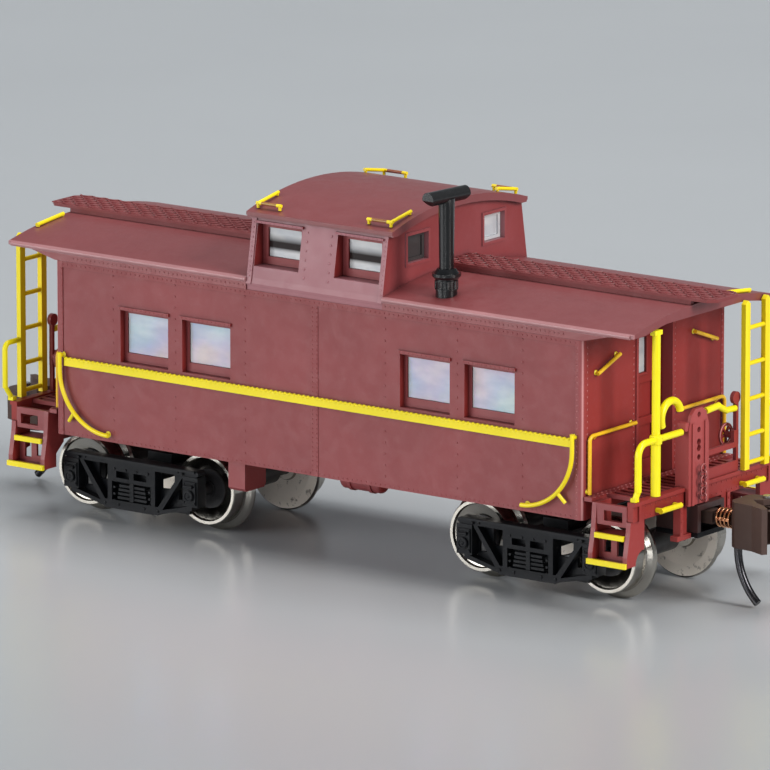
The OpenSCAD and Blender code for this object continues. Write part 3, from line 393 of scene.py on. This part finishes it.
# ---------------------------------------------------------------- mesh building
class Build:
    """Vertices and faces of one piece, gathered shape by shape."""

    def __init__(self):
        self.v = []
        self.f = []

    def add(self, verts, faces, at=None):
        n = len(self.v)
        self.v += [tuple(at @ Vector(p)) if at else tuple(p) for p in verts]
        self.f += [tuple(i + n for i in face) for face in faces]

    def box(self, lo, hi, edge=0.0):
        """Box with its twelve edges cut back by edge."""
        verts, index = [], {}
        for sx in (0, 1):
            for sy in (0, 1):
                for sz in (0, 1):
                    corner = [(lo, hi)[s][i] for i, s in enumerate((sx, sy, sz))]
                    for a in range(3):
                        p = list(corner)
                        for b in range(3):
                            if b != a:
                                p[b] += edge * (-1 if (sx, sy, sz)[b] else 1)
                        index[(sx, sy, sz, a)] = len(verts)
                        verts.append(p)
        faces = []
        for a in range(3):
            b, c = [i for i in range(3) if i != a]
            for s in (0, 1):
                ring = []
                for tb, tc in ((0, 0), (1, 0), (1, 1), (0, 1)):
                    k = [0, 0, 0]
                    k[a], k[b], k[c] = s, tb, tc
                    ring.append(index[(*k, a)])
                flip = (s == 1) != ((b - a) % 3 == 1)
                faces.append(ring[::-1] if flip else ring)
        if edge > 0:
            for a in range(3):
                b, c = [i for i in range(3) if i != a]
                for tb in (0, 1):
                    for tc in (0, 1):
                        k0, k1 = [0, 0, 0], [0, 0, 0]
                        k0[a], k1[a] = 0, 1
                        k0[b] = k1[b] = tb
                        k0[c] = k1[c] = tc
                        q = [index[(*k0, b)], index[(*k1, b)], index[(*k1, c)], index[(*k0, c)]]
                        faces.append(q)
            for s in ((x, y, z) for x in (0, 1) for y in (0, 1) for z in (0, 1)):
                faces.append([index[(*s, 0)], index[(*s, 1)], index[(*s, 2)]])
        self.add(verts, faces)

    def dome(self, p, n, r, h, sides=7):
        """Rivet head: a low dome whose foot is sunk a little in the surface."""
        q = Vector(n).to_track_quat("Z", "Y").to_matrix().to_4x4()
        at = Matrix.Translation(Vector(p)) @ q
        verts, faces = [], []
        for rr, zz in ((r, -0.3 * h), (r, 0.15 * h), (r * 0.68, 0.75 * h)):
            verts += [(rr * math.cos(2 * math.pi * i / sides), rr * math.sin(2 * math.pi * i / sides), zz)
                      for i in range(sides)]
        verts.append((0, 0, h))
        top = len(verts) - 1
        for k in (0, 1):
            for i in range(sides):
                j = (i + 1) % sides
                faces.append((k * sides + i, k * sides + j, (k + 1) * sides + j, (k + 1) * sides + i))
        faces += [(2 * sides + i, 2 * sides + (i + 1) % sides, top) for i in range(sides)]
        faces.append(tuple(range(sides - 1, -1, -1)))
        self.add(verts, faces, at)

    def prism(self, outline, at, height, edge=0.0):
        """Flat outline raised along its own Z, with its top edge cut back."""
        n = len(outline)
        c = Vector((sum(p[0] for p in outline) / n, sum(p[1] for p in outline) / n))
        verts = [(*p, 0) for p in outline] + [(*p, height - edge) for p in outline]
        for p in outline:
            d = c - Vector(p)
            q = Vector(p) + d.normalized() * edge
            verts.append((q[0], q[1], height))
        faces = [tuple(range(n - 1, -1, -1)), tuple(range(2 * n, 3 * n))]
        for k in (0, 1):
            for i in range(n):
                j = (i + 1) % n
                faces.append((k * n + i, k * n + j, (k + 1) * n + j, (k + 1) * n + i))
        self.add(verts, faces, at)

    def tube(self, points, r, sides=12):
        """Round rod along a path, closed at both ends."""
        pts = [Vector(p) for p in points]
        up = None
        rings = []
        for i, p in enumerate(pts):
            d = (pts[min(i + 1, len(pts) - 1)] - pts[max(i - 1, 0)]).normalized()
            if up is None:
                up = d.orthogonal().normalized()
            up = (up - d * up.dot(d)).normalized()
            side = d.cross(up)
            rings.append([p + (up * math.cos(a) + side * math.sin(a)) * r
                          for a in (2 * math.pi * k / sides for k in range(sides))])
        verts = [q for ring in rings for q in ring]
        faces = []
        for i in range(len(rings) - 1):
            for k in range(sides):
                j = (k + 1) % sides
                faces.append((i * sides + k, i * sides + j, (i + 1) * sides + j, (i + 1) * sides + k))
        faces.append(tuple(range(sides - 1, -1, -1)))
        faces.append(tuple((len(rings) - 1) * sides + k for k in range(sides)))
        self.add(verts, faces)

    def lathe(self, profile, at, sides=32):
        """Closed ring of revolution: profile is (radius, height) points turned about the local Z."""
        n = len(profile)
        angles = [2 * math.pi * k / sides for k in range(sides)]
        verts = [(r * math.cos(a), r * math.sin(a), z) for a in angles for r, z in profile]
        faces = []
        for k in range(sides):
            j = (k + 1) % sides
            for i in range(n):
                m = (i + 1) % n
                faces.append((k * n + i, j * n + i, j * n + m, k * n + m))
        self.add(verts, faces, at)


def turned(at, axis):
    """Matrix that puts the local Z along axis, at a point."""
    q = Vector(axis).to_track_quat("Z", "Y").to_matrix().to_4x4()
    return Matrix.Translation(Vector(at)) @ q


def piece(name, build, slot, body, sharp=35):
    """Mesh object of a build, with its finish, that rides on a body."""
    me = bpy.data.meshes.new(name)
    me.from_pydata(build.v, [], build.f)
    me.update()
    bm = bmesh.new()
    bm.from_mesh(me)
    bmesh.ops.recalc_face_normals(bm, faces=bm.faces)
    bm.to_mesh(me)
    bm.free()
    me.shade_smooth()
    me.set_sharp_from_angle(angle=math.radians(sharp))
    me.materials.append(FINISHES.get(name, M[slot]))
    o = bpy.data.objects.new(name, me)
    bpy.context.collection.objects.link(o)
    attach(o, body)
    return o


# ---------------------------------------------------------------- CAD nodes get their finishes
slots = {s["node"]: s["material_slot"] for s in frame["record"]["subparts"]}
MOULDED = {
    0.05: ("body_shell", "roof_panels", "cupola_shell", "cupola_roof", "walkways", "end_sills",
           "belt_rails", "ladders", "gates", "brake_columns", "steps", "tool_box", "frames_a", "frames_b",
           "coupler_boxes"),
    0.03: ("window_sashes", "end_doors", "step_edges", "springs_a", "springs_b"),
    0.16: ("coupler_a", "coupler_b", "knuckle_a", "knuckle_b"),
}
for name, o in nodes.items():
    finish = FINISHES.get(name, M[slots[name]])
    if not o.data.materials:
        o.data.materials.append(finish)
    for i in range(len(o.data.materials)):
        o.data.materials[i] = finish
for edge, names in MOULDED.items():
    for name in names:
        bevel = nodes[name].modifiers.new("moulded_edges", "BEVEL")
        bevel.width = edge * MM
        bevel.segments = 2
        bevel.limit_method = "ANGLE"
        bevel.angle_limit = math.radians(40)
        bevel.harden_normals = True


# ---------------------------------------------------------------- rivets, treads and small fittings
def high(node):
    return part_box(node)[1] / MM


def mm(*p):
    return Vector(p) * MM


BODY_X = 23.65
BODY_Y = 8.8
SILL_X = 28.0
DOOR_X = 22.5
POST_X, POST_Y, POST_RAIL_Z = 27.95, 5.95, 12.5
JACK_X, JACK_Y = 10.35, -6.9
SIDE_WINDOWS = (-15.52, -9.83, 9.83, 15.52)
CORNER_STRIP, SEAM_STRIP, TOP_STRIP = 0.07, 0.04, 0.06
RIVET_R, RIVET_H = 0.085, 0.05
TRUCK_X, AXLE_X = 17.9, 5.52
ENDS = SIDES = (-1, 1)


def steps_between(a, b, pitch):
    n = max(1, round((b - a) / pitch))
    return [a + (b - a) * i / n for i in range(n + 1)]


def rivet(build, x, y, z, n, k=1.0):
    build.dome(mm(x, y, z), n, RIVET_R * k * MM, RIVET_H * k * MM)


def cupola_face(z, proud=0.0):
    """Half-width of the cupola's leaning side at a height."""
    return 8.75 - max(0.0, z - 20.45) * 0.72 / 4.3 + proud


def body_rivets():
    """Rivets up each seam and corner of the walls and along their edges and window heads."""
    b = Build()
    for s in SIDES:
        n = (0, s, 0)
        for x in (-18.4, -12.68, -6.3, 6.3, 12.68, 18.4):
            for z in steps_between(7.4, 19.0, 0.82):
                if not 11.5 < z < 12.7:
                    rivet(b, x, s * BODY_Y, z, n)
        for x in (-0.18, 0.18):
            for z in steps_between(6.98, 18.95, 0.34):
                if not 11.6 < z < 12.6:
                    rivet(b, x, s * (BODY_Y + SEAM_STRIP), z, n, 0.8)
        for x in steps_between(-23.0, 23.0, 0.42):
            rivet(b, x, s * BODY_Y, 6.75, n, 0.85)
            rivet(b, x, s * (BODY_Y + TOP_STRIP), 19.33, n, 0.85)
        for x in (-23.15, 23.15):
            for z in steps_between(6.9, 19.0, 0.42):
                rivet(b, x, s * (BODY_Y + CORNER_STRIP), z, n, 0.85)
        for w in SIDE_WINDOWS:
            for x in steps_between(w - 2.15, w + 2.15, 0.39):
                rivet(b, x, s * (BODY_Y + 0.16), 16.72, n, 0.8)
    for e in ENDS:
        n = (e, 0, 0)
        for y in (-8.33, -2.55, 2.55, 8.33):
            for z in steps_between(8.7, 19.0, 0.44):
                rivet(b, e * (BODY_X + (CORNER_STRIP if abs(y) > 8 else 0)), y, z, n, 0.8)
    return b


def roof_rivets():
    """Rivets along the eave boards."""
    b = Build()
    for s in SIDES:
        for e in ENDS:
            for x in steps_between(6.4, 22.0, 0.4):
                rivet(b, e * x, s * 8.9, 19.86, (0, s, 0), 0.85)
    return b


def cupola_rivets():
    """Rivets up the cupola's corners and beside its window posts, and over its windows."""
    b = Build()
    lean = 0.72 / 4.3
    for s in SIDES:
        n = Vector((0, s, lean)).normalized()
        for x in (-5.89, 5.89):
            for z in steps_between(20.6, 24.4, 0.36):
                rivet(b, x, s * cupola_face(z, 0.07), z, n, 0.9)
        for x in (-1.08, 1.08):
            for z in steps_between(20.95, 24.2, 0.65):
                rivet(b, x, s * cupola_face(z), z, n, 1.1)
        for x in (-3.6, 3.6):
            for dx in steps_between(-2.0, 2.0, 0.4):
                rivet(b, x + dx, s * 8.28, 24.51, (0, s, 0), 0.75)
    return b


def belt_studs():
    """Row of small studs along the top edge of each belt rail."""
    b = Build()
    reach, face, top = high("belt_rails")
    for s in SIDES:
        for x in steps_between(-reach + 0.15, reach - 0.15, 0.42):
            b.dome(mm(x, s * (face - 0.06), top - 0.04), (0, s, 0.9), 0.13 * MM, 0.11 * MM)
    return b


def walkway_treads():
    """Raised lozenges of chequered plate, turned left and right in turn."""
    b = Build()
    tip, half, top = high("walkways")
    long, short = 0.4, 0.13
    for e in ENDS:
        for i, x in enumerate(steps_between(6.5, tip - 0.55, 0.62)):
            for j, y in enumerate(steps_between(-half + 0.35, half - 0.35, 0.58)):
                a = math.radians(42 if (i + j) % 2 else -42)
                at = Matrix.Translation(mm(e * x, y, top - 0.01)) @ Matrix.Rotation(a, 4, "Z")
                out = [(long, 0), (0, short), (-long, 0), (0, -short)]
                b.prism([(u * MM, v * MM) for u, v in out], at, 0.09 * MM, 0.04 * MM)
    return b


def sill_rivets():
    """Rivets along each end sill, and the bolts of the hangers below it."""
    b = Build()
    for e in ENDS:
        n = (e, 0, 0)
        for z in (7.25, 7.95):
            for y in steps_between(-8.5, 8.5, 0.62):
                if z > 7.5 or not -2.8 < e * y < 0.5:
                    rivet(b, e * SILL_X, y, z, n)
        for y in (-2.95, 2.95):
            for z in (5.3, 6.0, 6.7):
                b.dome(mm(e * (SILL_X + 0.12), y, z), n, 0.13 * MM, 0.08 * MM, 6)
    return b


def platform_treads():
    """Round studs on the solid strip of each platform."""
    b = Build()
    top = high("platforms")[2]
    for e in ENDS:
        for x in steps_between(23.95, 24.4, 0.4):
            for y in steps_between(-8.4, 8.4, 0.5):
                b.dome(mm(e * x, y, top), (0, 0, 1), 0.12 * MM, 0.05 * MM, 6)
    return b


def grab_feet():
    """Round feet where the hand grabs enter the walls."""
    b = Build()
    for e in ENDS:
        for s in SIDES:
            for y, z in ((2.9, 12.6), (7.25, 17.005), (4.8, 17.895)):
                b.dome(mm(e * BODY_X, s * y, z), (e, 0, 0), 0.2 * MM, 0.1 * MM, 12)
            b.dome(mm(e * (BODY_X + CORNER_STRIP), s * 8.35, 8.6), (e, 0, 0), 0.2 * MM, 0.1 * MM, 12)
            for x, z in ((23.05, 12.55), (18.9, 7.1)):
                b.dome(mm(e * x, s * BODY_Y, z), (0, s, 0), 0.24 * MM, 0.1 * MM, 12)
    return b


def post_clamps():
    """Clamp round each roof post where the handrail crosses it."""
    b = Build()
    profile = [(0.34, -0.36), (0.44, -0.3), (0.47, 0.0), (0.44, 0.3), (0.28, 0.36)]
    for e in ENDS:
        at = turned(mm(e * POST_X, -e * POST_Y, POST_RAIL_Z), (0, 0, 1))
        b.lathe([(r * MM, z * MM) for r, z in profile], at, 20)
    return b


def door_fittings():
    """Knob with its plate, hinges and raised window bead of each end door."""
    b = Build()
    for e in ENDS:
        for z in (9.6, 13.2, 17.6):
            hinge = mm(e * (DOOR_X + 0.06), e * 1.72, z)
            b.tube([hinge - mm(0, 0, 0.35), hinge + mm(0, 0, 0.35)], 0.13 * MM)
        b.dome(mm(e * DOOR_X, -e * 1.6, 12.0), (e, 0, 0), 0.24 * MM, 0.12 * MM, 14)
        b.dome(mm(e * (DOOR_X + 0.1), -e * 1.6, 12.0), (e, 0, 0), 0.14 * MM, 0.25 * MM, 14)
        x0, x1 = sorted((e * DOOR_X, e * (DOOR_X + 0.09)))
        for y in (-0.62, 0.62):
            b.box(mm(x0, y - 0.09, 15.45), mm(x1, y + 0.09, 18.25), 0.03 * MM)
        for z in (15.46, 18.24):
            b.box(mm(x0, -0.7, z - 0.09), mm(x1, 0.7, z + 0.09), 0.03 * MM)
    return b


def jack_bands():
    """Bands and lugs round the foot of the stove pipe."""
    b = Build()
    band = [(0.76, -0.07), (0.84, -0.04), (0.84, 0.04), (0.76, 0.07)]
    for z in (21.35, 21.95):
        b.lathe([(r * MM, h * MM) for r, h in band], turned(mm(JACK_X, JACK_Y, z), (0, 0, 1)))
    for i in range(8):
        a = 2 * math.pi * i / 8
        at = mm(JACK_X + 0.76 * math.cos(a), JACK_Y + 0.76 * math.sin(a), 0)
        b.tube([at + mm(0, 0, 21.4), at + mm(0, 0, 21.95)], 0.1 * MM, 8)
    return b


def truck_fittings(x):
    """Journal lids with their hinges, and the bolts of both side frames of the truck at x."""
    b = Build()
    lid, bar, plank = 7.74, 7.52, 7.4
    for s in SIDES:
        n = (0, s, 0)
        for a in (-AXLE_X, AXLE_X):
            rim = [(0.26, -0.03), (0.4, -0.03), (0.38, 0.05), (0.3, 0.06)]
            b.lathe([(r * MM, h * MM) for r, h in rim], turned(mm(x + a, s * lid, 3.15), n), 24)
            b.tube([mm(x + a - 0.36, s * lid, 3.86), mm(x + a + 0.36, s * lid, 3.86)], 0.09 * MM, 10)
            b.dome(mm(x + a, s * lid, 3.15), n, 0.14 * MM, 0.07 * MM, 12)
            for dx in (-0.46, 0.46):
                for z in (2.65, 4.02):
                    b.dome(mm(x + a + dx, s * (lid - 0.12), z), n, 0.09 * MM, 0.07 * MM, 6)
            b.dome(mm(x + a * 0.87, s * bar, 4.68), n, 0.12 * MM, 0.1 * MM, 6)
        for dx in (-1.55, -0.5, 0.5, 1.55):
            b.dome(mm(x + dx, s * plank, 4.2), n, 0.11 * MM, 0.08 * MM, 6)
        for dx in (-2.45, -1.2, 1.2, 2.45):
            b.dome(mm(x + dx, s * plank, 1.55), n, 0.13 * MM, 0.09 * MM, 6)
        for dx in (-4.3, 4.3):
            b.dome(mm(x + dx, s * plank, 4.75), n, 0.13 * MM, 0.1 * MM, 6)
        for e in (-1, 1):
            for z in (1.81, 2.31, 2.81):
                b.tube([mm(x + e * 1.62, s * y, z) for y in (6.9, 7.36)], 0.1 * MM, 8)
    return b


def add_fittings():
    piece("body_rivets", body_rivets(), "maroon_plastic", "car")
    piece("roof_rivets", roof_rivets(), "maroon_plastic", "car")
    piece("cupola_rivets", cupola_rivets(), "maroon_plastic", "car")
    piece("belt_studs", belt_studs(), "yellow_plastic", "car")
    piece("walkway_treads", walkway_treads(), "maroon_plastic", "car", 20)
    piece("sill_rivets", sill_rivets(), "red_plastic", "car")
    piece("platform_treads", platform_treads(), "maroon_plastic", "car")
    piece("grab_feet", grab_feet(), "yellow_plastic", "car")
    piece("post_clamps", post_clamps(), "yellow_plastic", "car")
    piece("door_fittings", door_fittings(), "red_plastic", "car")
    piece("jack_bands", jack_bands(), "gloss_black_plastic", "car")
    piece("truck_fittings_a", truck_fittings(TRUCK_X), "truck_black_plastic", "truck_a")
    piece("truck_fittings_b", truck_fittings(-TRUCK_X), "truck_black_plastic", "truck_b")


add_fittings()


# ---------------------------------------------------------------- floor
def add_floor():
    t = Tree("floor")
    drift = t.noise(6, 3, 0.5)
    tone = t.mix(drift, (0.443, 0.47, 0.492, 1), (0.502, 0.53, 0.552, 1))
    # Painted shade: the floor's colour darkens towards its front edge, on the camera's side.
    t.set(t.bsdf, "Base Color", t.scale_color(tone, t.spread(t.axis(1), -0.12, 0.02, 0.68, 1.0)))
    t.set(t.bsdf, "Roughness", t.spread(t.noise(40, 2, 0.4), 0.0, 1.0, 0.2, 0.3))
    t.bsdf.inputs["Specular IOR Level"].default_value = 0.8
    t.set(t.bsdf, "Normal", t.bump(t.noise(900, 3, 0.5), 0.04, 0.00002))
    b = Build()
    curve = [(-1.2, 0)] + [(0.9 + 0.5 * math.sin(a), 0.5 - 0.5 * math.cos(a)) for a in
                           (math.radians(9 * i) for i in range(11))] + [(1.4, 2.2)]
    n = len(curve)
    verts = [(x, y, z) for x in (-3, 3) for y, z in curve]
    b.add(verts, [(i, i + n, i + n + 1, i + 1) for i in range(n - 1)])
    me = bpy.data.meshes.new("floor")
    me.from_pydata(b.v, [], b.f)
    me.shade_smooth()
    me.materials.append(t.mat)
    o = bpy.data.objects.new("floor", me)
    o.rotation_euler[2] = math.radians(36.5)
    bpy.context.collection.objects.link(o)


add_floor()
